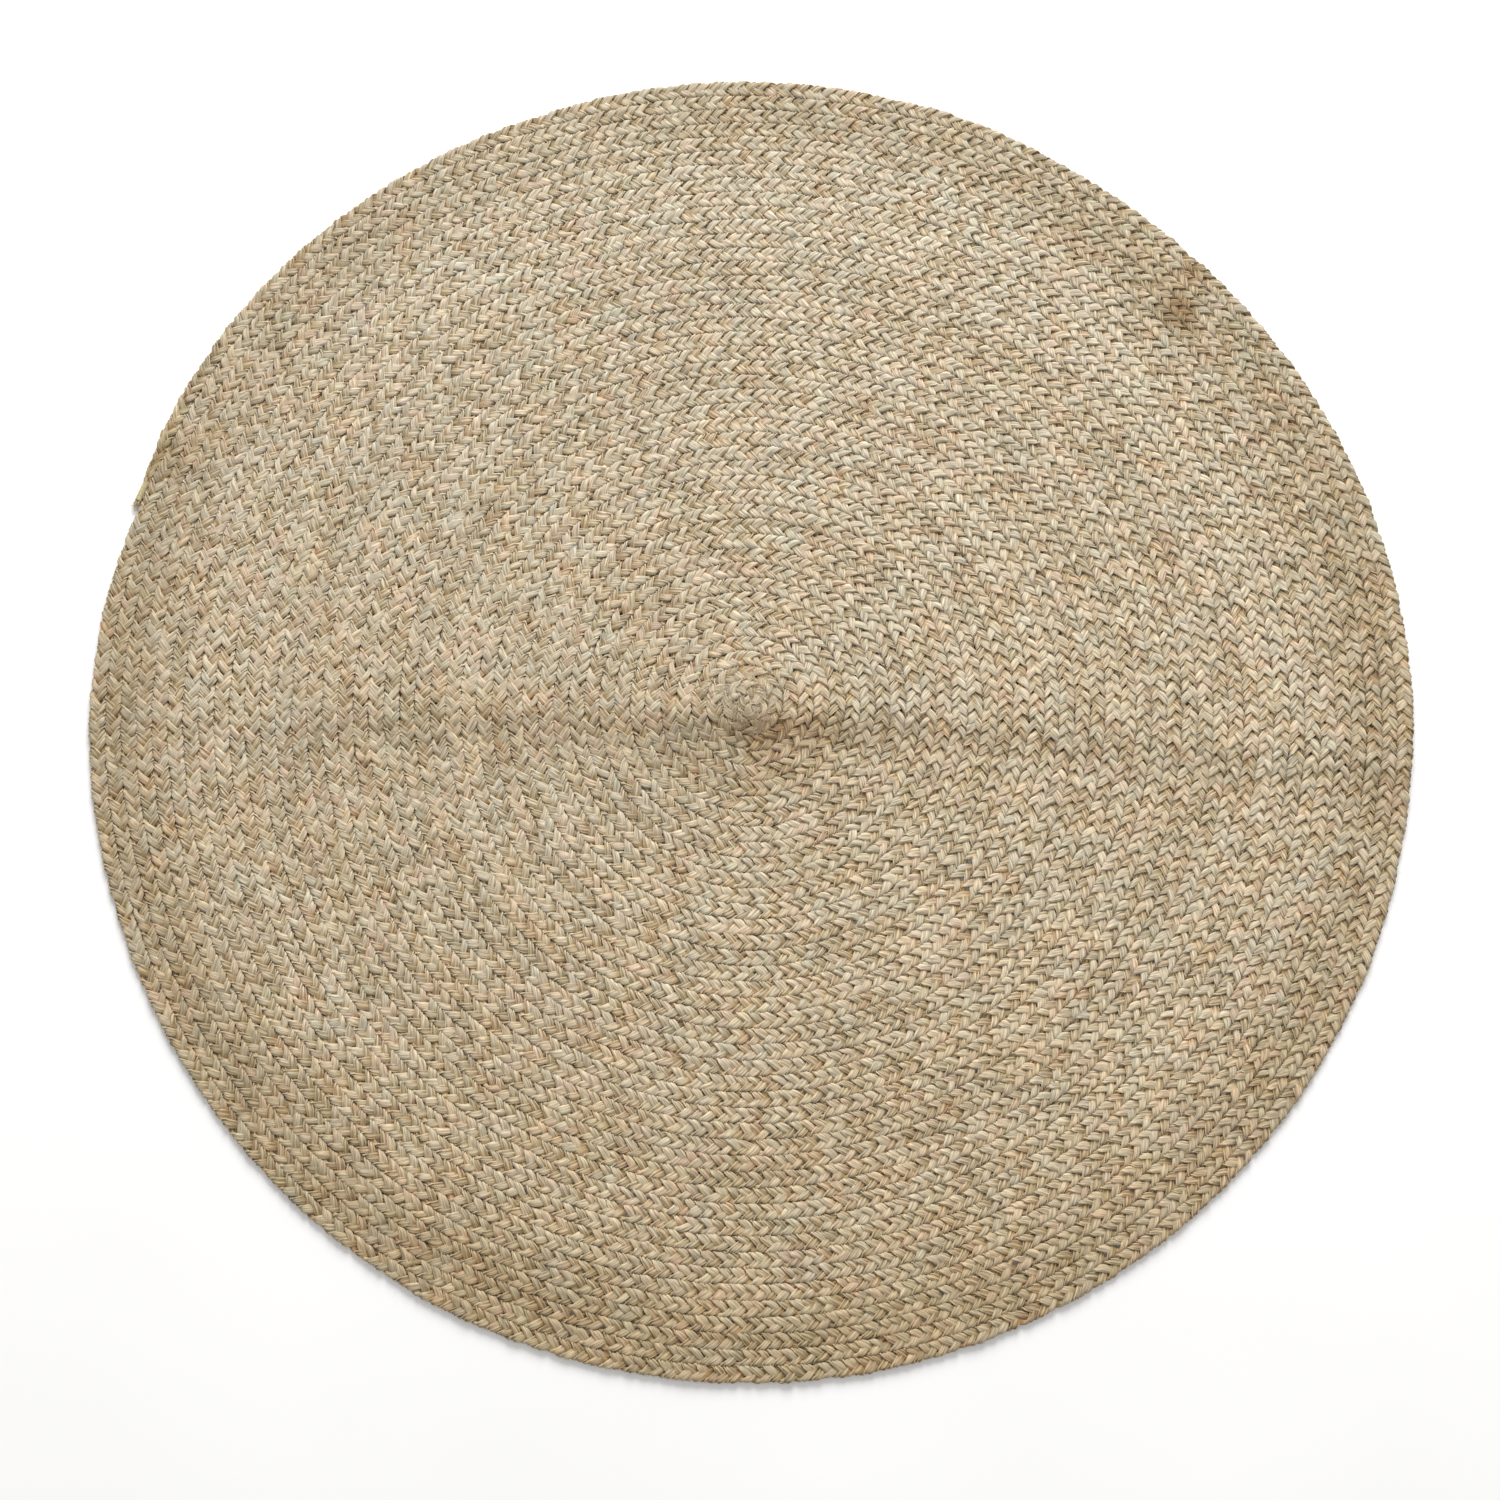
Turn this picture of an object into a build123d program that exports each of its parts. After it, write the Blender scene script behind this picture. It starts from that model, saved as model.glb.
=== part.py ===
"""Round hand-braided rug: one flat three-strand braid, coiled flat and laced edge to edge.

The coil is a two-centre spiral. Both centres lie on the seam line, a quarter of a pitch to
either side of its middle. Every turn is two half circles: the first about the rear centre,
the second about the front centre and half a pitch wider, so that neighbouring turns run
exactly one pitch apart all the way round. The braid's cut end lies on the front half of the
seam line.

Frame: millimetres, +Z up, origin on the floor under the middle of the rug. Each piece is
built with the seam line along +X and is turned to SEAM_ANGLE last.
"""
from build123d import *
import math
import os

# Driving sizes
TURN_COUNT = 43  # full turns of the braid
BRAID_WIDTH = 20.5  # flat braid, edge to edge
BRAID_THICKNESS = 10.0
EDGE_ROUND = 4.0  # radius of the braid's rolled edges
TURN_GAP = 0.3  # between neighbouring turns
SEAM_ANGLE = 162.0  # where the braid ends, degrees counter-clockwise from +X

LACING_DIAMETER = 1.2  # thread that sews each turn to the one inside it
LACING_SIDES = 6  # the pulled thread's plies press it into a hexagon
LACING_CLEARANCE = 0.1  # between the thread and the turns beside it
LACING_START = 25.0  # degrees of the first half circle that the thread leaves out

TAPER_LENGTH = 130.0  # along which the braid narrows before its end
WHIPPING_DIAMETER = 1.4  # twine bound round the braid's end
WHIPPING_CLEARANCE = 0.05  # between the twine and what it binds, and between its rounds
WHIPPING_ROUNDS = 18
WHIPPING_LIFT = 0.3  # the twine's height over the floor
BRUSH_LENGTH = 12.0  # cut fibres past the twine
BRUSH_LIFT = 0.5  # the cut fibres' height over the floor

# Worked out from the driving sizes
HALF_TURN = 180.0
FULL_TURN = 360.0
PITCH = BRAID_WIDTH + TURN_GAP
CENTRE_OFFSET = PITCH / 4  # of each centre from the middle of the seam line
MID_HEIGHT = BRAID_THICKNESS / 2
WHIPPING_PITCH = WHIPPING_DIAMETER + WHIPPING_CLEARANCE
WHIPPED_LENGTH = (WHIPPING_ROUNDS + 1) * WHIPPING_PITCH
WHIPPING_RADIUS = MID_HEIGHT - WHIPPING_LIFT - WHIPPING_DIAMETER / 2
NECK_RADIUS = WHIPPING_RADIUS - WHIPPING_DIAMETER / 2 - WHIPPING_CLEARANCE
NECK_ROOT = NECK_RADIUS  # how far the neck reaches back into the taper
BRUSH_RADIUS = MID_HEIGHT - BRUSH_LIFT
TAPER_END_WIDTH = BRAID_THICKNESS

LAST_RADIUS = TURN_COUNT * PITCH  # middle line of the last half circle
LAST_INNER_RADIUS = LAST_RADIUS - BRAID_WIDTH / 2
LAST_OUTER_RADIUS = LAST_RADIUS + BRAID_WIDTH / 2
END_LENGTH = WHIPPED_LENGTH + BRUSH_LENGTH
TAPER_END_ANGLE = FULL_TURN - math.degrees(END_LENGTH / LAST_RADIUS)
TAPER_START_ANGLE = TAPER_END_ANGLE - math.degrees(TAPER_LENGTH / LAST_RADIUS)

FRONT, REAR = 1, -1  # the seam line's two centres


def centre(side):
    """Centre of a half circle, in the seam line's frame."""
    return Vector(side * CENTRE_OFFSET, 0, 0)


def polar(side, radius, angle):
    """Point on the floor at this radius and angle, in degrees, about one of the centres."""
    turned = math.radians(angle)
    return centre(side) + Vector(radius * math.cos(turned), radius * math.sin(turned), 0)


def braid_section(width, height=BRAID_THICKNESS):
    """The flat braid's outline across its length, standing on the X axis of the XZ plane."""
    outline = Pos(0, height / 2) * RectangleRounded(width, height, EDGE_ROUND)
    return Plane.XZ * outline


def swing(section, side, radius, start, end):
    """Turn a section that stands on the XZ plane through an arc about one of the centres."""
    placed = Pos(*centre(side)) * Rot(0, 0, start) * Pos(radius, 0, 0) * section
    return revolve(placed, Axis(tuple(centre(side)), (0, 0, 1)), end - start)


def first_half(turn):
    """Middle radius of a turn's half circle about the rear centre."""
    return (turn - 0.5) * PITCH


def second_half(turn):
    """Middle radius of a turn's half circle about the front centre."""
    return turn * PITCH


def braid_turn(turn):
    """One full turn of the braid. The last one stops where the tail starts to narrow."""
    end = TAPER_START_ANGLE if turn == TURN_COUNT else FULL_TURN
    first = swing(braid_section(BRAID_WIDTH), REAR, first_half(turn), 0, HALF_TURN)
    second = swing(braid_section(BRAID_WIDTH), FRONT, second_half(turn), HALF_TURN, end)
    return first + second


def braid_centre():
    """The braid's rounded start, turned back on itself, and the first turn round it."""
    right_half = Plane.XZ * Pos(BRAID_WIDTH / 2, MID_HEIGHT) * Rectangle(BRAID_WIDTH, BRAID_THICKNESS)
    half_section = braid_section(BRAID_WIDTH) & right_half
    cap = swing(half_section, FRONT, 0, HALF_TURN, FULL_TURN)
    return braid_turn(1) + cap


def neck_plane():
    """Start of the bound end, square to the braid and centred in its thickness."""
    radius = LAST_INNER_RADIUS + TAPER_END_WIDTH / 2
    start = polar(FRONT, radius, TAPER_END_ANGLE) + Vector(0, 0, MID_HEIGHT)
    along = polar(FRONT, radius, TAPER_END_ANGLE + 90) - centre(FRONT)
    return Plane(start, x_dir=(0, 0, 1), z_dir=tuple(along))


def braid_taper():
    """The last stretch of braid, whose outer edge runs in to meet the turn inside it."""
    inner_start = polar(FRONT, LAST_INNER_RADIUS, TAPER_START_ANGLE)
    inner_end = polar(FRONT, LAST_INNER_RADIUS, TAPER_END_ANGLE)
    inner_middle = polar(FRONT, LAST_INNER_RADIUS, (TAPER_START_ANGLE + TAPER_END_ANGLE) / 2)
    outer_start = polar(FRONT, LAST_OUTER_RADIUS, TAPER_START_ANGLE)
    outer_end = polar(FRONT, LAST_INNER_RADIUS + TAPER_END_WIDTH, TAPER_END_ANGLE)
    along = polar(FRONT, LAST_OUTER_RADIUS, TAPER_START_ANGLE + 90) - centre(FRONT)
    inner = ThreePointArc(inner_start, inner_middle, inner_end)
    outer = TangentArc(outer_start, outer_end, tangent=along)
    ends = [Line(inner_start, outer_start), Line(inner_end, outer_end)]
    plan = make_face([inner, outer, *ends])
    body = extrude(plan, BRAID_THICKNESS)
    long_edges = [edge for edge in body.edges() if edge.geom_type == GeomType.CIRCLE]
    return fillet(long_edges, EDGE_ROUND)


def braid_tail():
    """The narrowing stretch, the neck that the twine squeezes, and the cut fibres past it."""
    plane = neck_plane()
    base = Align.CENTER, Align.CENTER, Align.MIN
    neck = Cylinder(NECK_RADIUS, NECK_ROOT + WHIPPED_LENGTH, align=base)
    brush = Cone(NECK_RADIUS, BRUSH_RADIUS, BRUSH_LENGTH, align=base)
    bound = plane * Pos(0, 0, -NECK_ROOT) * neck
    spread = plane * Pos(0, 0, WHIPPED_LENGTH) * brush
    return braid_taper() + bound + spread


def tail_whipping():
    """Twine wound in one close helix round the neck."""
    path = Helix(WHIPPING_PITCH, WHIPPING_ROUNDS * WHIPPING_PITCH, WHIPPING_RADIUS)
    section = Plane(path @ 0, z_dir=path % 0) * Circle(WHIPPING_DIAMETER / 2)
    twine = sweep(section, path=path, is_frenet=True)
    return neck_plane() * Pos(0, 0, WHIPPING_PITCH / 2) * twine


def lacing_height():
    """Height at which the thread nests between two rolled edges, under the braid's middle."""
    reach = EDGE_ROUND + LACING_DIAMETER / 2 + LACING_CLEARANCE
    across = EDGE_ROUND + TURN_GAP / 2
    return EDGE_ROUND - math.sqrt(reach**2 - across**2)


def lacing_thread():
    """One thread along the whole groove between the turns, from the centre to the tail."""
    section = Plane.XZ * Pos(0, lacing_height()) * RegularPolygon(LACING_DIAMETER / 2, LACING_SIDES)
    arcs = []
    for turn in range(TURN_COUNT):
        groove = second_half(turn) + PITCH / 2
        start = HALF_TURN + LACING_START if turn == 0 else HALF_TURN
        end = TAPER_END_ANGLE if turn == TURN_COUNT - 1 else FULL_TURN
        arcs.append(swing(section, FRONT, groove, start, end))
    for turn in range(1, TURN_COUNT):
        groove = first_half(turn) + PITCH / 2
        arcs.append(swing(section, REAR, groove, 0, HALF_TURN))
    return arcs[0].fuse(*arcs[1:])


def pieces():
    """Every piece by the name of its node, with the seam line along +X."""
    named = {"braid_centre": braid_centre()}
    for turn in range(2, TURN_COUNT + 1):
        named[f"braid_turn_{turn:02d}"] = braid_turn(turn)
    named["braid_tail"] = braid_tail()
    named["tail_whipping"] = tail_whipping()
    named["lacing_thread"] = lacing_thread()
    return named


# The second halves reach half a pitch further out than the first ones, so the coil is moved
# half of that across the seam line, which puts the origin under its middle.
place = Rot(0, 0, SEAM_ANGLE) * Pos(0, PITCH / 4, 0)

os.makedirs("parts", exist_ok=True)
for name, piece in pieces().items():
    export_step(place * piece, f"parts/{name}.step")
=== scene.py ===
"""Looks of the round braided rug, built over the CAD frame.

Every CAD node is a plain solid and is replaced here. The three strands of the braid are built
as flattened bundles of yarn that cross over and under each other along the coil, one mesh for
each turn. The lacing, the twine round the cut end and the loose fibres are meshes of their own.
Sizes are in metres; the coil's numbers are those of the CAD model.
"""

import math

import bpy
import numpy as np
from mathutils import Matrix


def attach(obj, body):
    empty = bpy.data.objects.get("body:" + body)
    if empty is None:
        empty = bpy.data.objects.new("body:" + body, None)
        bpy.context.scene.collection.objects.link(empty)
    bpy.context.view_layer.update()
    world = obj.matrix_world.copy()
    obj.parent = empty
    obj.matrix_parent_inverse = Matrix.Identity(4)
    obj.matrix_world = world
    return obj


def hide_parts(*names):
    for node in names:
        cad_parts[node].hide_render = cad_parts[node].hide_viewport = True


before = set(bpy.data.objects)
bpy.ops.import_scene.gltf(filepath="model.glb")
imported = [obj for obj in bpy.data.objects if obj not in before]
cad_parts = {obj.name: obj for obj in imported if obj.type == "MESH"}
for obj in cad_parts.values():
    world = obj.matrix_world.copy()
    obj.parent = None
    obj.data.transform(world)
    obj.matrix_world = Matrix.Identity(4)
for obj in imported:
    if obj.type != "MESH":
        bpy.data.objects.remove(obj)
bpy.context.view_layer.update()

# The coil, as in the CAD model
TURN_COUNT = 43
BRAID_WIDTH = 0.0205
BRAID_THICKNESS = 0.0100
TURN_GAP = 0.0003
SEAM_ANGLE = math.radians(162)
TAPER_LENGTH = 0.130
WHIPPING_DIAMETER = 0.0014
WHIPPING_CLEARANCE = 0.00005
WHIPPING_ROUNDS = 18
WHIPPING_LIFT = 0.0003
BRUSH_LENGTH = 0.012
TAPER_END_WIDTH = BRAID_THICKNESS

PITCH = BRAID_WIDTH + TURN_GAP
CENTRE_OFFSET = PITCH / 4
MID_HEIGHT = BRAID_THICKNESS / 2
WHIPPING_PITCH = WHIPPING_DIAMETER + WHIPPING_CLEARANCE
WHIPPED_LENGTH = (WHIPPING_ROUNDS + 1) * WHIPPING_PITCH
WHIPPING_RADIUS = MID_HEIGHT - WHIPPING_LIFT - WHIPPING_DIAMETER / 2
NECK_RADIUS = WHIPPING_RADIUS - WHIPPING_DIAMETER / 2
RIM_RADIUS = (TURN_COUNT + 0.25) * PITCH
HALF_TURN_STEP = math.pi * PITCH / 2  # what each half turn is longer than the last

# Lengths along the braid, from its start in the middle of the rug
COIL_END = HALF_TURN_STEP * TURN_COUNT * (2 * TURN_COUNT + 1)
TAPER_END = COIL_END - WHIPPED_LENGTH - BRUSH_LENGTH
TAPER_START = TAPER_END - TAPER_LENGTH
START_CAP = BRAID_WIDTH / 2  # rounded first end of the braid

# The braid: each strand swings from edge to edge and dives under the next one
STRANDS = 3
LOBE_PITCH = 0.0170  # between neighbouring lobes along one edge
PERIOD = STRANDS * LOBE_PITCH
SWING = 0.0082  # of a strand's middle line to each side
DIVE = 0.0017  # of a strand's middle line up and down
WIDE_MIDDLE = 0.0057  # half width of a strand where it crosses the braid
WIDE_EDGE = 0.0042  # where it rolls over the braid's edge
THICK_MIDDLE = 0.0025  # half thickness in the same places
THICK_EDGE = 0.0032
ROLL_SHARPNESS = 3.0  # how suddenly a strand rolls over at the edge
STEPS = 24  # rings of points in one period
STEP = PERIOD / STEPS
RING = 12  # points round a strand: two rims, three yarns on each face, furrows between
FACE_FLATNESS = 0.68  # below 1 the strand's faces are flatter than an ellipse
RIM_FLATNESS = 0.92
FURROW = 0.85  # deepest furrow between yarns, as a share of the half thickness
FURROW_SHADE = 0.60  # painted shade in the furrows: how much darker than its height a furrow is
EDGE_SHARPNESS = 3  # how suddenly a strand narrows and fills out at the edge
STRAND_SPACING = 1.7  # between the flows of the strands, in braid lengths: no two share a pattern

# Unevenness of hand work
PHASE_DRIFT = 0.60  # radians that the crossings wander by
STRAND_DRIFT = 0.50  # radians that one strand runs early or late
SWING_DRIFT = 0.16  # shares of the named sizes
WIDTH_DRIFT = 0.26
THICKNESS_DRIFT = 0.16
HEIGHT_DRIFT = 0.00060
FURROW_SHARE = 0.55  # of the deepest furrow that a furrow has on average, ...
FURROW_DRIFT = 0.75  # ... and how far that wanders
SEED = 41

# Lengths along the braid within which each of these changes
PHASE_REACH = 0.21
STRAND_REACH = 0.034
SWING_REACH = 0.026
WIDTH_REACH = 0.019
THICKNESS_REACH = 0.022
HEIGHT_REACH = 0.025
FURROW_REACH = 0.022
DRIFT_LEAD = 3  # random values before the braid's start
DRIFT_SPARE = 8  # random values beyond those that the braid's length takes

FRONT, REAR = 1, -1
rng = np.random.default_rng(SEED)


class Drift:
    """Smooth random values between -1 and 1 along the braid, one row for each strand."""

    def __init__(self, reach, rows=1):
        self.reach = reach
        count = int(COIL_END / reach) + DRIFT_SPARE
        self.values = rng.uniform(-1, 1, (rows, count))

    def __call__(self, length):
        place = length / self.reach + DRIFT_LEAD
        knot = np.floor(place).astype(int)
        part = (1 - np.cos(np.pi * (place - knot))) / 2
        return self.values[:, knot] * (1 - part) + self.values[:, knot + 1] * part


phase_drift = Drift(PHASE_REACH)
strand_drift = Drift(STRAND_REACH, STRANDS)
swing_drift = Drift(SWING_REACH, STRANDS)
width_drift = Drift(WIDTH_REACH, STRANDS)
thickness_drift = Drift(THICKNESS_REACH, STRANDS)
height_drift = Drift(HEIGHT_REACH, STRANDS)
furrow_drift = Drift(FURROW_REACH, STRANDS)


def smooth(low, high, x):
    """0 below low, 1 above high, and a smooth step between."""
    t = np.clip((x - low) / (high - low), 0, 1)
    return t * t * (3 - 2 * t)


# ---------------------------------------------------------------- where the braid lies


def coil(length):
    """Middle line of the braid on the floor, with its outward and forward directions."""
    # The half turn that each length falls in, and how far round its centre it has got
    on_coil = np.clip(length, 0, TAPER_END)
    half = np.floor((np.sqrt(1 + 8 * on_coil / HALF_TURN_STEP) - 1) / 2)
    radius = (half + 1) * PITCH / 2
    along = (on_coil - HALF_TURN_STEP * half * (half + 1) / 2) / radius
    rear = half % 2 == 0
    angle = along + np.where(rear, 0, math.pi)
    outward = np.stack([np.cos(angle), np.sin(angle)], -1)
    forward = np.stack([-np.sin(angle), np.cos(angle)], -1)
    middle = outward * radius[..., None]
    middle[..., 0] += np.where(rear, REAR, FRONT) * CENTRE_OFFSET
    middle[..., 1] += PITCH / 4
    middle += forward * (length - on_coil)[..., None]
    turn = np.array([[math.cos(SEAM_ANGLE), math.sin(SEAM_ANGLE)],
                     [-math.sin(SEAM_ANGLE), math.cos(SEAM_ANGLE)]])
    return middle @ turn, outward @ turn, forward @ turn


CAP_LEAST = 0.0025  # keeps the rounded start from closing to a point
TAPER_CURVE = 1.6  # how late the tail narrows
NECK_BLEND = 0.010  # length over which the braid gathers into the bound neck
BRUSH_SPREAD = 0.35  # how much wider and higher the strands are past the twine
BRUSH_RISE = 0.30


def envelope(length):
    """Share of the full width and thickness that the braid has, and its shift to one side."""
    capped = np.sqrt(np.clip(1 - (np.minimum(length, 0) / START_CAP) ** 2, CAP_LEAST, 1))
    taper = np.clip((length - TAPER_START) / TAPER_LENGTH, 0, 1)
    end_share = TAPER_END_WIDTH / BRAID_WIDTH
    width = capped * (1 - (1 - end_share) * taper**TAPER_CURVE)
    shift = -(1 - np.maximum(width, end_share)) * BRAID_WIDTH / 2
    shift = np.where(length < 0, 0, shift)
    in_neck = smooth(TAPER_END - NECK_BLEND, TAPER_END, length)
    in_brush = smooth(COIL_END - BRUSH_LENGTH, COIL_END, length)
    neck_width = (2 * NECK_RADIUS / BRAID_WIDTH) * (1 + BRUSH_SPREAD * in_brush)
    width = width * (1 - in_neck) + neck_width * in_neck
    neck_height = (2 * NECK_RADIUS / BRAID_THICKNESS) * (1 + BRUSH_RISE * in_brush)
    height = np.sqrt(capped) * (1 - in_neck) + neck_height * in_neck
    return width, height, shift


# The fold left from packing: a crease right across the rug, steep on its south side
FOLD_HEIGHT = 0.0090
FOLD_EVENNESS = 0.62  # share of its height that the fold keeps far from the middle
FOLD_FADE = 0.32  # how far from the middle the fold is at its fullest
FOLD_START, FOLD_WHOLE = -1.10, -0.45  # it grows from nothing between these X
FOLD_NORTH = 0.160  # length of the gentle slope behind the crest
FOLD_CREST = 0.026  # the crest's distance from the crease, ...
FOLD_FOOT = 0.062  # the foot's, ...
CENTRE_CREST = 0.011  # ... and the same two at the rug's middle, where the fold is steepest
CENTRE_FOOT = 0.056
CENTRE_PLACE = 0.015  # X of the steepest place, ...
CENTRE_REACH = 0.130  # ... and how far along X it reaches
FOLD_SHARPNESS = 2.2  # how hollow the steep side is
CREASE_LEVEL = -0.032  # Y of the crease on the left
CREASE_RISE = 0.004  # which rises by this towards the middle, ...
RISE_START, RISE_END = -0.20, 0.02  # ... between these X
CREASE_BEND = 0.130  # from this X on the crease falls away
CREASE_SLOPE = 0.104
CREASE_ROUND = 0.050  # how softly it bends there

# Where the outline is flatter or fuller than a circle: direction, reach in degrees, depth
OUTLINE = (
    (20, 22, 0.0020),
    (52, 26, -0.0075),
    (69, 6, 0.0035),
    (110, 10, -0.0025),
    (128, 14, -0.0020),
    (154, 11, -0.0065),
    (182, 14, 0.0055),
    (288, 44, -0.0045),
)
OUTLINE_FADE = 1.5  # power of the radius by which that dies out towards the middle


def crease(x):
    """Y of the crease at each X."""
    past = x - CREASE_BEND
    slope = CREASE_SLOPE * (past + np.sqrt(past**2 + CREASE_ROUND**2)) / 2
    return CREASE_LEVEL + CREASE_RISE * smooth(RISE_START, RISE_END, x) - slope


def fold_share(x):
    """How strong the fold is along the crease, as a share of its strength in the middle."""
    fade = FOLD_EVENNESS + (1 - FOLD_EVENNESS) * np.exp(-((x / FOLD_FADE) ** 2))
    return fade * smooth(FOLD_START, FOLD_WHOLE, x)


def lift(x, y):
    """How far the rug stands up from the floor along its fold."""
    off = y - crease(x)
    near = np.exp(-(((x - CENTRE_PLACE) / CENTRE_REACH) ** 2))
    crest = FOLD_CREST + (CENTRE_CREST - FOLD_CREST) * near
    foot = FOLD_FOOT + (CENTRE_FOOT - FOLD_FOOT) * near
    south = smooth(-foot, crest, off) ** FOLD_SHARPNESS
    north = np.exp(-(((off - crest) / FOLD_NORTH) ** 2))
    return FOLD_HEIGHT * fold_share(x) * np.where(off > crest, north, south)


# Wear and painted shade: the outermost turns are darker, the south side and the crease carry painted shade,
# there are a few small stains, and painted shadow lies south of the raised middle
RIM_DARKENING = 0.84  # share of the light that the rim still gives back
RIM_DARKENING_REACH = 0.16
RIM_WANDER = ((0.025, 2, 0.35), (0.012, 9, 0.0))  # of its inner edge: depth, waves, start
SOUTH_SHADE = 0.07  # painted shade: share of the light that the south side has lost
SOUTH_START, SOUTH_END = -0.30, -0.90  # between these Y
CREASE_SHADE = 0.90  # painted shade: share of the light that the crease still gives back
CREASE_SHADE_NORTH = 0.010  # how far that reaches on its two sides
CREASE_SHADE_SOUTH = 0.045
TURN_TONE = 0.045  # how much lighter or darker one turn is than another
STAINS_AND_SHADOW = (
    # x, y, reach along x, reach along y, share of the light given back, above 1 where it is paler
    (0.603, 0.558, 0.026, 0.034, 0.66),
    (0.625, 0.616, 0.020, 0.020, 0.74),
    # these three: painted shadow on the steep south side of the raised middle, together with a brown stain
    # there
    (0.005, -0.073, 0.160, 0.070, 0.84),
    (0.006, -0.048, 0.046, 0.026, 0.80),
    (0.080, -0.038, 0.060, 0.016, 0.90),
    (0.008, 0.004, 0.034, 0.030, 1.11),
    (-0.812, 0.345, 0.026, 0.050, 0.84),
)
SPOT_CORE, SPOT_EDGE = 0.2, 1.4  # shares of the reach where each stain and painted shadow starts to fade and has gone
TONE_COUNT = 2 * TURN_COUNT + 4  # more than the turns need, but every later random draw follows on
turn_tones = rng.uniform(-1, 1, TONE_COUNT)


def wear(x, y):
    """Share of the light that the rug gives back at each place, beside its own colour: stains, turn tone, a
    darker rim, and painted shade.
    """
    radius = np.hypot(x, y)
    direction = np.arctan2(y, x)
    wander = sum(depth * np.sin(waves * direction + start) for depth, waves, start in RIM_WANDER)
    rim = smooth(RIM_RADIUS - RIM_DARKENING_REACH, RIM_RADIUS, radius + wander)
    # the rim comes out darker, and the south side gets painted shade
    light = (1 - (1 - RIM_DARKENING) * rim) * (1 - SOUTH_SHADE * smooth(SOUTH_START, SOUTH_END, y))
    # painted shade along the crease
    off = y - crease(x)
    reach = np.where(off > 0, CREASE_SHADE_NORTH, CREASE_SHADE_SOUTH)
    light = light * (1 - (1 - CREASE_SHADE) * fold_share(x) * np.exp(-((off / reach) ** 2)))
    for spot_x, spot_y, wide, high, kept in STAINS_AND_SHADOW:
        far = np.hypot((x - spot_x) / wide, (y - spot_y) / high)
        light = light * (kept + (1 - kept) * smooth(SPOT_CORE, SPOT_EDGE, far))
    row = np.clip(radius / PITCH, 0, len(turn_tones) - 2)
    low = np.floor(row).astype(int)
    tone = turn_tones[low] + (turn_tones[low + 1] - turn_tones[low]) * smooth(0, 1, row - low)
    return light * (1 + TURN_TONE * tone)


def settle(points):
    """Lays points of a perfectly flat, round coil onto the folded, uneven rug."""
    x, y = points[..., 0], points[..., 1]
    radius = np.hypot(x, y)
    direction = np.degrees(np.arctan2(y, x))
    push = 0
    for middle, reach, depth in OUTLINE:
        off = (direction - middle + 180) % 360 - 180
        push = push + depth * np.exp(-((off / reach) ** 2))
    grow = 1 + push * (radius / RIM_RADIUS) ** OUTLINE_FADE / RIM_RADIUS
    height = points[..., 2] + lift(x, y)
    return np.stack([x * grow, y * grow, height], -1)


# ---------------------------------------------------------------- meshes


CORNERS = 4  # of each face along a tube


def tubes(name, points, flow=None, **values):
    """A mesh of closed tubes from points [tube, ring, point, xyz], with what its material reads."""
    count, rings, around, _ = points.shape
    index = np.arange(count * rings * around).reshape(count, rings, around)
    beside = np.roll(index, -1, axis=2)
    quads = np.stack([index[:, :-1], index[:, 1:], beside[:, 1:], beside[:, :-1]], -1)
    caps = np.concatenate([index[:, 0], index[:, -1, ::-1]])
    corners = np.concatenate([quads.ravel(), caps.ravel()])
    sizes = np.concatenate([np.full(quads.size // CORNERS, CORNERS), np.full(len(caps), around)])
    starts = np.concatenate([[0], np.cumsum(sizes)[:-1]])
    mesh = bpy.data.meshes.new(name)
    mesh.vertices.add(index.size)
    mesh.vertices.foreach_set("co", points.astype(np.float32).ravel())
    mesh.loops.add(corners.size)
    mesh.loops.foreach_set("vertex_index", corners.astype(np.int32))
    mesh.polygons.add(sizes.size)
    mesh.polygons.foreach_set("loop_start", starts.astype(np.int32))
    mesh.polygons.foreach_set("loop_total", sizes.astype(np.int32))
    rounded = np.concatenate([np.ones(quads.size // CORNERS, bool), np.zeros(len(caps), bool)])
    mesh.polygons.foreach_set("use_smooth", rounded)
    mesh.update(calc_edges=True)
    if flow is not None:
        data = mesh.attributes.new("strand_flow", "FLOAT_VECTOR", "POINT").data
        data.foreach_set("vector", flow.astype(np.float32).ravel())
    for value_name, value in values.items():
        data = mesh.attributes.new(value_name, "FLOAT", "POINT").data
        data.foreach_set("value", value.astype(np.float32).ravel())
    piece = bpy.data.objects.new(name, mesh)
    bpy.context.scene.collection.objects.link(piece)
    return piece


def section():
    """Points round a strand: across and up as shares of its half sizes, and which are furrows."""
    turn = 2 * math.pi * np.arange(RING) / RING
    across = np.sign(np.cos(turn)) * np.abs(np.cos(turn)) ** RIM_FLATNESS
    up = np.sign(np.sin(turn)) * np.abs(np.sin(turn)) ** FACE_FLATNESS
    rims = np.isclose(np.abs(across), 1)
    furrows = (np.arange(RING) % 2 == 0) & ~rims
    return np.where(rims, np.sign(across), across), np.where(rims, 0, up), furrows


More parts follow.
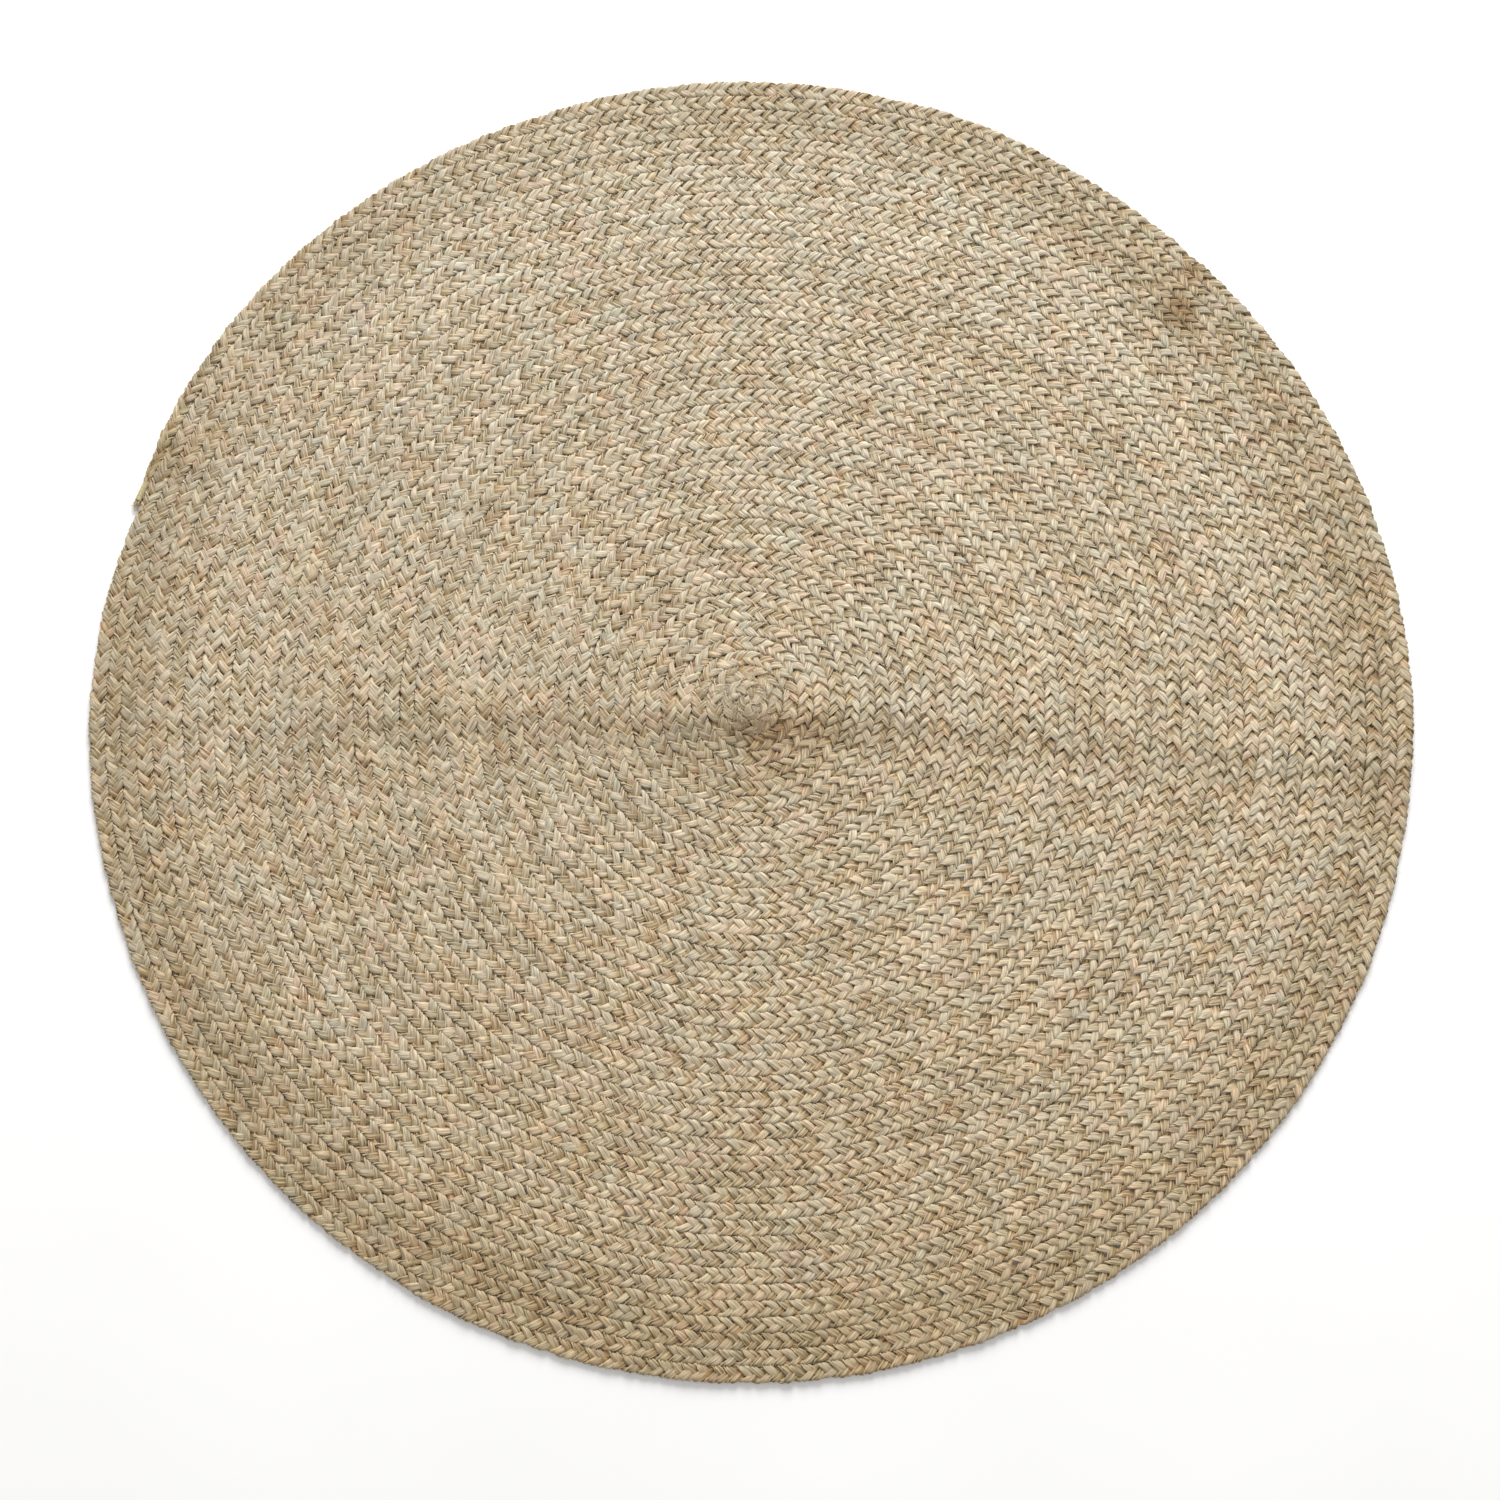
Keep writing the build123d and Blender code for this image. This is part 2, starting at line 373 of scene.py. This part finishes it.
def strand_rings(first, last):
    """The three strands between two steps along the braid: points, fibre flow, depth for painted shade, and
    wear with painted shade.
    """
    length = np.arange(first - 1, last + 2) * STEP
    turn = np.arange(STRANDS)[:, None] * 2 * math.pi / STRANDS
    turn = turn + 2 * math.pi * length / PERIOD
    turn = turn + PHASE_DRIFT * phase_drift(length) + STRAND_DRIFT * strand_drift(length)
    swing = SWING * (1 + SWING_DRIFT * swing_drift(length))
    across = swing * np.sin(turn)
    up = -DIVE * np.sin(2 * turn) + HEIGHT_DRIFT * height_drift(length)
    slope_across = np.gradient(across, STEP, axis=1)
    slope_up = np.gradient(up, STEP, axis=1)

    # Directions across the braid, along it and up, for the strand's section at each ring
    flat = np.sqrt(1 + slope_across**2)
    full = np.sqrt(flat**2 + slope_up**2)
    zero = np.zeros_like(flat)
    sideways = np.stack([1 / flat, -slope_across / flat, zero], -1)
    ahead = np.stack([slope_across, np.ones_like(flat), slope_up], -1) / full[..., None]
    upright = np.cross(sideways, ahead)
    bend = np.tanh(ROLL_SHARPNESS * np.cos(turn)) / math.tanh(ROLL_SHARPNESS)
    roll = (math.pi / 2 * (1 - bend))[..., None]
    broad = np.cos(roll) * sideways + np.sin(roll) * upright
    thin = np.cos(roll) * upright - np.sin(roll) * sideways

    # Half sizes of the section: wide and flat in the middle, narrow and full at the edges
    edge = np.abs(np.sin(turn)) ** EDGE_SHARPNESS
    half_width = WIDE_MIDDLE + (WIDE_EDGE - WIDE_MIDDLE) * edge
    half_thick = THICK_MIDDLE + (THICK_EDGE - THICK_MIDDLE) * edge
    half_width = half_width * (1 + WIDTH_DRIFT * width_drift(length))
    half_thick = half_thick * (1 + THICKNESS_DRIFT * thickness_drift(length))
    ring_across, ring_up, furrows = section()
    furrow = FURROW * np.clip(FURROW_SHARE + FURROW_DRIFT * furrow_drift(length), 0, 1)[..., None]
    wide = half_width[..., None] * ring_across
    thick = half_thick[..., None] * ring_up * (1 - furrows * furrow)

    offset = wide[..., None] * broad[:, :, None] + thick[..., None] * thin[:, :, None]
    width_share, height_share, shift = envelope(length)
    local_across = shift[:, None] + width_share[:, None] * (across[..., None] + offset[..., 0])
    local_up = height_share[:, None] * (up[..., None] + offset[..., 2])
    local_along = length[:, None] + offset[..., 1]
    middle, outward, _ = coil(local_along)
    ground = middle + outward * local_across[..., None]
    height = np.maximum(MID_HEIGHT + local_up, 0.0)
    points = settle(np.concatenate([ground, height[..., None]], -1))

    start = (np.arange(STRANDS) * STRAND_SPACING * COIL_END)[:, None, None]
    flow = np.stack([start + np.broadcast_to(length[:, None], wide.shape), wide, thick], -1)
    # Low places and furrows come out darker in the material from this depth: painted shade
    depth = np.abs(up[..., None] + offset[..., 2]) / MID_HEIGHT - FURROW_SHADE * furrows * furrow
    kept = slice(1, -1)
    worn_and_shaded = wear(ground[..., 0], ground[..., 1])
    return points[:, kept], flow[:, kept], depth[:, kept], worn_and_shaded[:, kept]


def braid_piece(name, first, last):
    """One mesh of the three strands between two steps along the braid."""
    points, flow, depth, worn_and_shaded = strand_rings(first, last)
    return tubes(name, points, flow, strand_depth=depth, strand_wear=worn_and_shaded)


def turn_limits(turn):
    """First and last step of a full turn of the braid."""
    start = HALF_TURN_STEP * (turn - 1) * (2 * turn - 1)
    end = HALF_TURN_STEP * turn * (2 * turn + 1)
    if turn == 1:
        start = -START_CAP
    if turn == TURN_COUNT:
        end = TAPER_START
    return round(start / STEP), round(end / STEP)


TINY = 1e-9  # keeps a path that runs straight up from dividing by nothing


def round_tube(path, radius, around):
    """Ring points [ring, point, xyz] of a round tube along a path of points."""
    ahead = np.gradient(path, axis=0)
    ahead /= np.linalg.norm(ahead, axis=1)[:, None]
    sideways = np.cross(ahead, [0, 0, 1])
    sideways /= np.linalg.norm(sideways, axis=1)[:, None] + TINY
    upright = np.cross(sideways, ahead)
    turn = 2 * math.pi * np.arange(around) / around
    radius = np.broadcast_to(radius, len(path))[:, None, None]
    ring = np.cos(turn)[:, None] * sideways[:, None] + np.sin(turn)[:, None] * upright[:, None]
    return path[:, None] + radius * ring


LACING_DIAMETER = 0.0012
LACING_HEIGHT = 0.0017
LACING_REACH = 0.0026  # how far a stitch goes into the braid on each side of the groove
LACING_SIDES = 4
STITCH = np.array([1, 0.2, -1, -0.2])  # one zigzag across the groove, as shares of the reach


def lacing():
    """The thread that zigzags along the groove, from one turn's edge to its neighbour's."""
    first = math.ceil(HALF_TURN_STEP / LOBE_PITCH)
    last = math.floor(TAPER_END / LOBE_PITCH)
    length = np.arange(2 * first, 2 * last) * LOBE_PITCH / 2
    reach = LACING_REACH * STITCH[np.arange(len(length)) % len(STITCH)]
    middle, outward, _ = coil(length)
    ground = middle + outward * (reach - PITCH / 2)[:, None]
    path = np.concatenate([ground, np.full((len(length), 1), LACING_HEIGHT)], -1)
    return tubes("lacing", settle(round_tube(path, LACING_DIAMETER / 2, LACING_SIDES)[None]))


TWINE_STEPS = 16  # rings of points in one round of the twine
TWINE_SIDES = 8
NECK_SHIFT = (TAPER_END_WIDTH - BRAID_WIDTH) / 2  # of the bound end from the braid's middle


def end_twine():
    """The twine wound in a close helix round the braid's end."""
    rounds = np.arange(WHIPPING_ROUNDS * TWINE_STEPS + 1) / TWINE_STEPS
    turn = 2 * math.pi * rounds
    length = TAPER_END + (rounds + 0.5) * WHIPPING_PITCH
    middle, outward, _ = coil(length)
    ground = middle + outward * (NECK_SHIFT + WHIPPING_RADIUS * np.cos(turn))[:, None]
    height = MID_HEIGHT + WHIPPING_RADIUS * np.sin(turn)
    path = np.concatenate([ground, height[:, None]], -1)
    return tubes("tail_twine", settle(round_tube(path, WHIPPING_DIAMETER / 2, TWINE_SIDES)[None]))


FIBRE_RADIUS = 0.00012
FIBRE_RINGS = 6
FIBRE_SIDES = 3
FIBRE_THINNING = 0.6  # share of its radius that a fibre loses towards its tip
FIBRE_ARCH = 0.8  # share of a half wave that a fibre's arch follows


def fibres(start, heading, reach, curl, arch):
    """Ring points of thin curved fibres from their start points, headings and lengths."""
    part = np.linspace(0, 1, FIBRE_RINGS)
    angle = heading[:, None] + curl[:, None] * part
    step = (reach / (FIBRE_RINGS - 1))[:, None]
    x = start[:, :1] + np.cumsum(np.cos(angle) * step, 1)
    y = start[:, 1:2] + np.cumsum(np.sin(angle) * step, 1)
    z = start[:, 2:] + arch[:, None] * np.sin(math.pi * part * FIBRE_ARCH)
    paths = np.stack([x, y, z], -1)
    thin = FIBRE_RADIUS * (1 - FIBRE_THINNING * part)
    return np.stack([round_tube(path, thin, FIBRE_SIDES) for path in paths])


# Loose fibres that lie on the braid
LOOSE_FIBRES = 2600  # all over the rug, ...
CENTRE_FIBRES = 700  # ... and on the first turns, ...
CENTRE_LENGTH = 0.35  # ... up to this length along the braid
LOOSE_HEIGHT = -0.0012, 0.0002  # of their start over the braid's top
LOOSE_REACH = 0.006, 0.022  # their own length
LOOSE_SPREAD = 0.9  # radians from the braid's direction
LOOSE_CURL = 1.3  # radians that they bend by
LOOSE_RISE = 0.0006  # how high they arch


def scattered_fibres(name, count, low, high):
    """Loose fibres that lie over the braid between two lengths along it."""
    length = rng.uniform(low, high, count)
    middle, outward, forward = coil(length)
    across = rng.uniform(-0.5, 0.5, count) * BRAID_WIDTH
    height = BRAID_THICKNESS + rng.uniform(*LOOSE_HEIGHT, count)
    start = np.concatenate([middle + outward * across[:, None], height[:, None]], -1)
    heading = np.arctan2(forward[:, 1], forward[:, 0]) + rng.normal(0, LOOSE_SPREAD, count)
    reach = rng.uniform(*LOOSE_REACH, count)
    curl = rng.normal(0, LOOSE_CURL, count)
    points = fibres(start, heading, reach, curl, rng.uniform(0, LOOSE_RISE, count))
    return tubes(name, settle(points))


# Short fibres at the rug's outer edge
RIM_FIBRES = 420
RIM_ROOT = 0.06  # how far in from the edge they start, as a share of the braid's width
RIM_HEIGHT = 0.002, 0.009
RIM_REACH = 0.003, 0.008
RIM_SPREAD = 0.7
RIM_CURL = 1.0
RIM_RISE = 0.0006


def rim_fibres(count):
    """Short fibres that stand out sideways from the last turn."""
    length = rng.uniform(TAPER_END - 2 * math.pi * RIM_RADIUS, TAPER_END, count)
    width_share, _, shift = envelope(length)
    middle, outward, _ = coil(length)
    edge = shift + (width_share * 0.5 - RIM_ROOT) * BRAID_WIDTH
    height = rng.uniform(*RIM_HEIGHT, count)
    start = np.concatenate([middle + outward * edge[:, None], height[:, None]], -1)
    heading = np.arctan2(outward[:, 1], outward[:, 0]) + rng.normal(0, RIM_SPREAD, count)
    reach = rng.uniform(*RIM_REACH, count)
    curl = rng.normal(0, RIM_CURL, count)
    points = fibres(start, heading, reach, curl, rng.normal(0, RIM_RISE, count))
    return tubes("rim_fibres", settle(points))


# The brush of cut fibres past the twine
BRUSH_FIBRES = 150
BRUSH_ROOT = 0.002  # how far they reach back under the twine
BRUSH_FILL = 0.95  # share of the neck's radius that they fill
BRUSH_FAN = 0.35  # radians that the outermost ones turn outwards by
BRUSH_REACH = 0.7, 1.15  # their length, as shares of the brush's
BRUSH_CURL = 0.15
BRUSH_ARCH = 0.2
STRAND_SHARE = 0.6  # of the brush's length that the strands stop short of its end


def brush(count):
    """The cut ends of the strands, which spread a little past the twine."""
    length = np.full(count, COIL_END - BRUSH_LENGTH - BRUSH_ROOT)
    middle, outward, forward = coil(length)
    turn = rng.uniform(0, 2 * math.pi, count)
    out = NECK_RADIUS * np.sqrt(rng.uniform(0, 1, count)) * BRUSH_FILL
    ground = middle + outward * (NECK_SHIFT + out * np.cos(turn))[:, None]
    start = np.concatenate([ground, (MID_HEIGHT + out * np.sin(turn))[:, None]], -1)
    spread = BRUSH_FAN * out / NECK_RADIUS * np.cos(turn)
    heading = np.arctan2(forward[:, 1], forward[:, 0]) - spread
    reach = rng.uniform(*BRUSH_REACH, count) * BRUSH_LENGTH
    arch = out * np.sin(turn) * BRUSH_ARCH
    points = fibres(start, heading, reach, rng.normal(0, BRUSH_CURL, count), arch)
    return tubes("tail_brush", settle(points))


# ---------------------------------------------------------------- materials


def paint(red, green, blue):
    """A colour from its 0 to 255 screen values, made linear by the sRGB curve."""
    share = np.array([red, green, blue]) / 255
    linear = np.where(share > 0.04045, ((share + 0.055) / 1.055) ** 2.4, share / 12.92)
    return (*linear, 1.0)


def node(tree, kind, inputs=None, **settings):
    """A shader node with its settings, and with values or links for its inputs."""
    made = tree.nodes.new(kind)
    for key, value in settings.items():
        setattr(made, key, value)
    for key, value in (inputs or {}).items():
        if isinstance(value, bpy.types.NodeSocket):
            tree.links.new(value, made.inputs[key])
        else:
            made.inputs[key].default_value = value
    return made


def ramp(tree, value, stops):
    """A colour ramp over value with stops of (place, colour)."""
    made = node(tree, "ShaderNodeValToRGB", {"Fac": value})
    marks = made.color_ramp.elements
    while len(marks) < len(stops):
        marks.new(1.0)
    for mark, (place, colour) in zip(marks, stops):
        mark.position = place
        mark.color = colour
    return made.outputs["Color"]


def noise(tree, place, scale, detail=2.0, roughness=0.5):
    """Noise from 0 to 1 over a place whose axes are first multiplied by scale."""
    stretched = node(tree, "ShaderNodeVectorMath", {0: place, 1: scale}, operation="MULTIPLY")
    grain = {"Vector": stretched.outputs[0], "Scale": 1.0, "Detail": detail, "Roughness": roughness}
    return node(tree, "ShaderNodeTexNoise", grain).outputs["Fac"]


def remap(tree, value, limits):
    """The value moved from the first two limits to the last two."""
    names = "From Min", "From Max", "To Min", "To Max"
    inputs = {"Value": value, **dict(zip(names, limits))}
    return node(tree, "ShaderNodeMapRange", inputs).outputs["Result"]


def calculate(tree, operation, first, second):
    """A sum, difference or product of two numbers."""
    return node(tree, "ShaderNodeMath", {0: first, 1: second}, operation=operation).outputs[0]


def veil(tree, colour, filter_colour):
    """A colour as it shows through a second one."""
    return node(tree, "ShaderNodeVectorMath", {0: colour, 1: filter_colour}, operation="MULTIPLY").outputs[0]


def attribute(tree, name, output="Fac"):
    """What the meshes say about each point under this name."""
    return node(tree, "ShaderNodeAttribute", attribute_name=name).outputs[output]


def new_material(name):
    """An empty material and its node tree."""
    made = bpy.data.materials.new(name)
    made.use_nodes = True
    made.node_tree.nodes.clear()
    return made, made.node_tree


RELIEF_STRENGTH = 0.7
SPECULAR = 0.25
SHEEN = 0.12
SHEEN_ROUGHNESS = 0.5


def finish_material(tree, colour, roughness, height, depth):
    """A matte, slightly fuzzy surface with this colour, roughness and relief."""
    relief = {"Height": height, "Distance": depth, "Strength": RELIEF_STRENGTH}
    bump = node(tree, "ShaderNodeBump", relief)
    surface = {
        "Base Color": colour,
        "Roughness": roughness,
        "Specular IOR Level": SPECULAR,
        "Sheen Weight": SHEEN,
        "Sheen Roughness": SHEEN_ROUGHNESS,
        "Normal": bump.outputs["Normal"],
    }
    shader = node(tree, "ShaderNodeBsdfPrincipled", surface)
    node(tree, "ShaderNodeOutputMaterial", {"Surface": shader.outputs["BSDF"]})


JUTE = (
    (0.28, paint(198, 193, 172)),  # greenish grey
    (0.42, paint(203, 193, 173)),
    (0.52, paint(206, 193, 171)),  # beige
    (0.62, paint(209, 190, 169)),  # pinkish tan
    (0.74, paint(206, 184, 162)),  # brown
)
TINT = (
    (0.25, paint(248, 250, 250)),  # bleached
    (0.50, paint(250, 247, 240)),
    (0.75, paint(255, 248, 233)),  # straw
)
CREVICE_SHADE = (
    (0.05, paint(216, 201, 174)),  # painted shade and dust, deep between the strands
    (0.48, paint(255, 255, 255)),
)
SOIL_AND_SHADE = (
    (0.45, paint(255, 226, 190)),  # brown where the wear and painted shade are deepest
    (0.80, paint(255, 250, 240)),
    (1.00, paint(255, 255, 255)),
)
TAIL = (
    (0.30, paint(196, 190, 158)),
    (0.45, paint(202, 191, 160)),
    (0.58, paint(206, 189, 157)),
    (0.72, paint(204, 184, 160)),
)
WARM_LIGHT_FALL = 0.22  # painted light: how much the tint turns to straw for every metre towards the south, standing in for warmer light there

# Grain of the strands: how fast each noise changes along a strand and across it, or over the rug
PATCH_GRAIN = {"scale": (10, 60, 60), "detail": 3.0, "roughness": 0.62}  # colour patches
YARN_GRAIN = {"scale": (38, 430, 430), "detail": 1.5}
FIBRE_GRAIN = {"scale": (90, 800, 800), "detail": 3.0, "roughness": 0.6}
REGION_GRAIN = {"scale": (34, 34, 34)}  # colour of whole places on the rug
STRAW_GRAIN = {"scale": (26, 26, 40), "detail": 3.0}
PATCH_WEIGHT = 0.60
REGION_WEIGHT = 0.60
SHADE_SHIFT = 0.10  # taken off, so that the shade's middle lies in the ramp's middle
YARN_LIGHT = 0.32, 0.68, 0.70, 1.24  # noise from and to, light from and to
FIBRE_LIGHT = 0.30, 0.70, 0.62, 1.36
FIBRE_ROUGHNESS = 0.2, 0.8, 0.97, 0.82  # noise from and to, roughness from and to
YARN_RELIEF = 1.4  # how much higher yarns stand than fibres
STRAND_RELIEF = 0.0005


def strand_material(name, shades):
    """Loosely twisted yarn: patches of colour along each strand, and fine streaks of fibre."""
    made, tree = new_material(name)
    flow = attribute(tree, "strand_flow", "Vector")
    depth = attribute(tree, "strand_depth")
    worn_and_shaded = attribute(tree, "strand_wear")
    place = node(tree, "ShaderNodeTexCoord").outputs["Object"]

    # Colour: patches and places, a straw tint that warms towards the south as painted light, painted brown
    # shade in crevices and furrows, and brown wear and painted shade
    patch = calculate(tree, "MULTIPLY", noise(tree, flow, **PATCH_GRAIN), PATCH_WEIGHT)
    region = calculate(tree, "MULTIPLY", noise(tree, place, **REGION_GRAIN), REGION_WEIGHT)
    shade = calculate(tree, "SUBTRACT", calculate(tree, "ADD", patch, region), SHADE_SHIFT)
    north = node(tree, "ShaderNodeSeparateXYZ", {0: place}).outputs["Y"]
    fall = calculate(tree, "MULTIPLY", north, WARM_LIGHT_FALL)
    straw_and_warm_light = calculate(tree, "SUBTRACT", noise(tree, place, **STRAW_GRAIN), fall)
    colour = veil(tree, ramp(tree, shade, shades), ramp(tree, straw_and_warm_light, TINT))
    colour = veil(tree, colour, ramp(tree, depth, CREVICE_SHADE))
    colour = veil(tree, colour, ramp(tree, worn_and_shaded, SOIL_AND_SHADE))

    # Light: streaks of yarn and fibre, and wear with painted shade
    yarn = noise(tree, flow, **YARN_GRAIN)
    fibre = noise(tree, flow, **FIBRE_GRAIN)
    light = calculate(tree, "MULTIPLY", remap(tree, yarn, YARN_LIGHT), remap(tree, fibre, FIBRE_LIGHT))
    light = calculate(tree, "MULTIPLY", light, worn_and_shaded)
    toned = node(tree, "ShaderNodeVectorMath", {0: colour, "Scale": light}, operation="SCALE")

    relief = calculate(tree, "ADD", fibre, calculate(tree, "MULTIPLY", yarn, YARN_RELIEF))
    roughness = remap(tree, fibre, FIBRE_ROUGHNESS)
    finish_material(tree, toned.outputs[0], roughness, relief, STRAND_RELIEF)
    return made


THREAD_DETAIL = 3.0
THREAD_DARK, THREAD_PALE = 0.35, 0.65  # noise at which a thread is darkest and palest
THREAD_ROUGHNESS = 0.3, 0.7, 0.95, 0.8
THREAD_RELIEF = 0.0002


def thread_material(name, dark, pale, grain):
    """Thin thread or loose fibre, mottled along its length."""
    made, tree = new_material(name)
    place = node(tree, "ShaderNodeTexCoord").outputs["Object"]
    mottle = noise(tree, place, (grain, grain, grain), THREAD_DETAIL)
    colour = ramp(tree, mottle, ((THREAD_DARK, dark), (THREAD_PALE, pale)))
    finish_material(tree, colour, remap(tree, mottle, THREAD_ROUGHNESS), mottle, THREAD_RELIEF)
    return made


FLOOR_SIZE = 30
FLOOR_GRAIN = 2.0, 2.0, 2.0
FLOOR_ROUGHNESS = 0.9
FLOOR_SHADES = (
    (0.3, paint(250, 250, 250)),
    (0.7, paint(253, 253, 253)),
)


def floor_material():
    """Plain pale studio floor with a trace of unevenness."""
    made, tree = new_material("studio_floor")
    place = node(tree, "ShaderNodeTexCoord").outputs["Object"]
    colour = ramp(tree, noise(tree, place, FLOOR_GRAIN), FLOOR_SHADES)
    surface = {"Base Color": colour, "Roughness": FLOOR_ROUGHNESS}
    shader = node(tree, "ShaderNodeBsdfPrincipled", surface)
    node(tree, "ShaderNodeOutputMaterial", {"Surface": shader.outputs["BSDF"]})
    return made


# ---------------------------------------------------------------- the rug


def add(piece, material, slot, *nodes):
    """Gives a piece its material, hangs it on the rug's root and hides the CAD parts that it replaces."""
    piece.data.materials.append(material)
    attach(piece, "root")
    if nodes:
        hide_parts(*nodes)


jute = strand_material("jute_strand", JUTE)
tail_jute = strand_material("jute_tail", TAIL)
fluff = thread_material("loose_fibre", paint(196, 178, 145), paint(238, 226, 200), grain=60)
twine = thread_material("whipping_twine", paint(186, 172, 132), paint(222, 206, 166), grain=400)
lace = thread_material("lacing_thread", paint(150, 128, 96), paint(196, 174, 138), grain=90)

for turn in range(1, TURN_COUNT + 1):
    node_name = "braid_centre" if turn == 1 else f"braid_turn_{turn:02d}"
    add(braid_piece(f"turn_{turn:02d}", *turn_limits(turn)), jute, "braid_fibre", node_name)

tail_steps = round(TAPER_START / STEP), round((COIL_END - STRAND_SHARE * BRUSH_LENGTH) / STEP)
add(braid_piece("tail_strands", *tail_steps), tail_jute, "braid_fibre", "braid_tail")
add(brush(BRUSH_FIBRES), fluff, "braid_fibre")
add(end_twine(), twine, "whipping_twine", "tail_whipping")
add(lacing(), lace, "lacing_thread", "lacing_thread")
add(scattered_fibres("loose_fibres", LOOSE_FIBRES, 0, COIL_END), fluff, "braid_fibre")
centre_fluff = scattered_fibres("centre_fluff", CENTRE_FIBRES, -START_CAP, CENTRE_LENGTH)
add(centre_fluff, fluff, "braid_fibre")
add(rim_fibres(RIM_FIBRES), fluff, "braid_fibre")

# ---------------------------------------------------------------- studio

bpy.ops.mesh.primitive_plane_add(size=FLOOR_SIZE)
floor = bpy.context.object
floor.name = "studio_floor"
floor.data.materials.append(floor_material())

STUDIO_WHITE = 1.0, 0.995, 0.985
WORLD_STRENGTH = 0.58
KEY_ENERGY = 550
KEY_SIZE = 4.0
KEY_ELEVATION = math.radians(34)
KEY_AZIMUTH = math.radians(4)  # east of north
KEY_DISTANCE = 7.0
key = bpy.data.lights.new("key", "AREA")
key.shape = "DISK"
key.size = KEY_SIZE
key.energy = KEY_ENERGY
key.color = STUDIO_WHITE
key_object = bpy.data.objects.new("key", key)
key_object.location = (
    KEY_DISTANCE * math.cos(KEY_ELEVATION) * math.sin(KEY_AZIMUTH),
    KEY_DISTANCE * math.cos(KEY_ELEVATION) * math.cos(KEY_AZIMUTH),
    KEY_DISTANCE * math.sin(KEY_ELEVATION),
)
key_object.rotation_euler = (KEY_ELEVATION - math.pi / 2, 0, -KEY_AZIMUTH)
bpy.context.scene.collection.objects.link(key_object)

world = bpy.data.worlds.new("studio")
world.use_nodes = True
background = world.node_tree.nodes["Background"]
background.inputs["Color"].default_value = (*STUDIO_WHITE, 1.0)
background.inputs["Strength"].default_value = WORLD_STRENGTH
bpy.context.scene.world = world
bpy.context.scene.view_settings.view_transform = "Standard"

CAMERA_DISTANCE = 3.07
CAMERA_TILT = math.radians(9.86)  # off the vertical, towards the viewer's side
CAMERA_AIM = (0.0, -0.0664, 0.0)
VIEW_WIDTH = 2.036  # metres across the frame at the rug
SENSOR = 36.0
camera = bpy.data.cameras.new("camera")
camera.sensor_width = SENSOR
camera.lens = SENSOR * CAMERA_DISTANCE / VIEW_WIDTH
camera_object = bpy.data.objects.new("camera", camera)
camera_object.location = (
    CAMERA_AIM[0],
    CAMERA_AIM[1] - CAMERA_DISTANCE * math.sin(CAMERA_TILT),
    CAMERA_DISTANCE * math.cos(CAMERA_TILT),
)
camera_object.rotation_euler = (CAMERA_TILT, 0, 0)
bpy.context.scene.collection.objects.link(camera_object)
bpy.context.scene.camera = camera_object
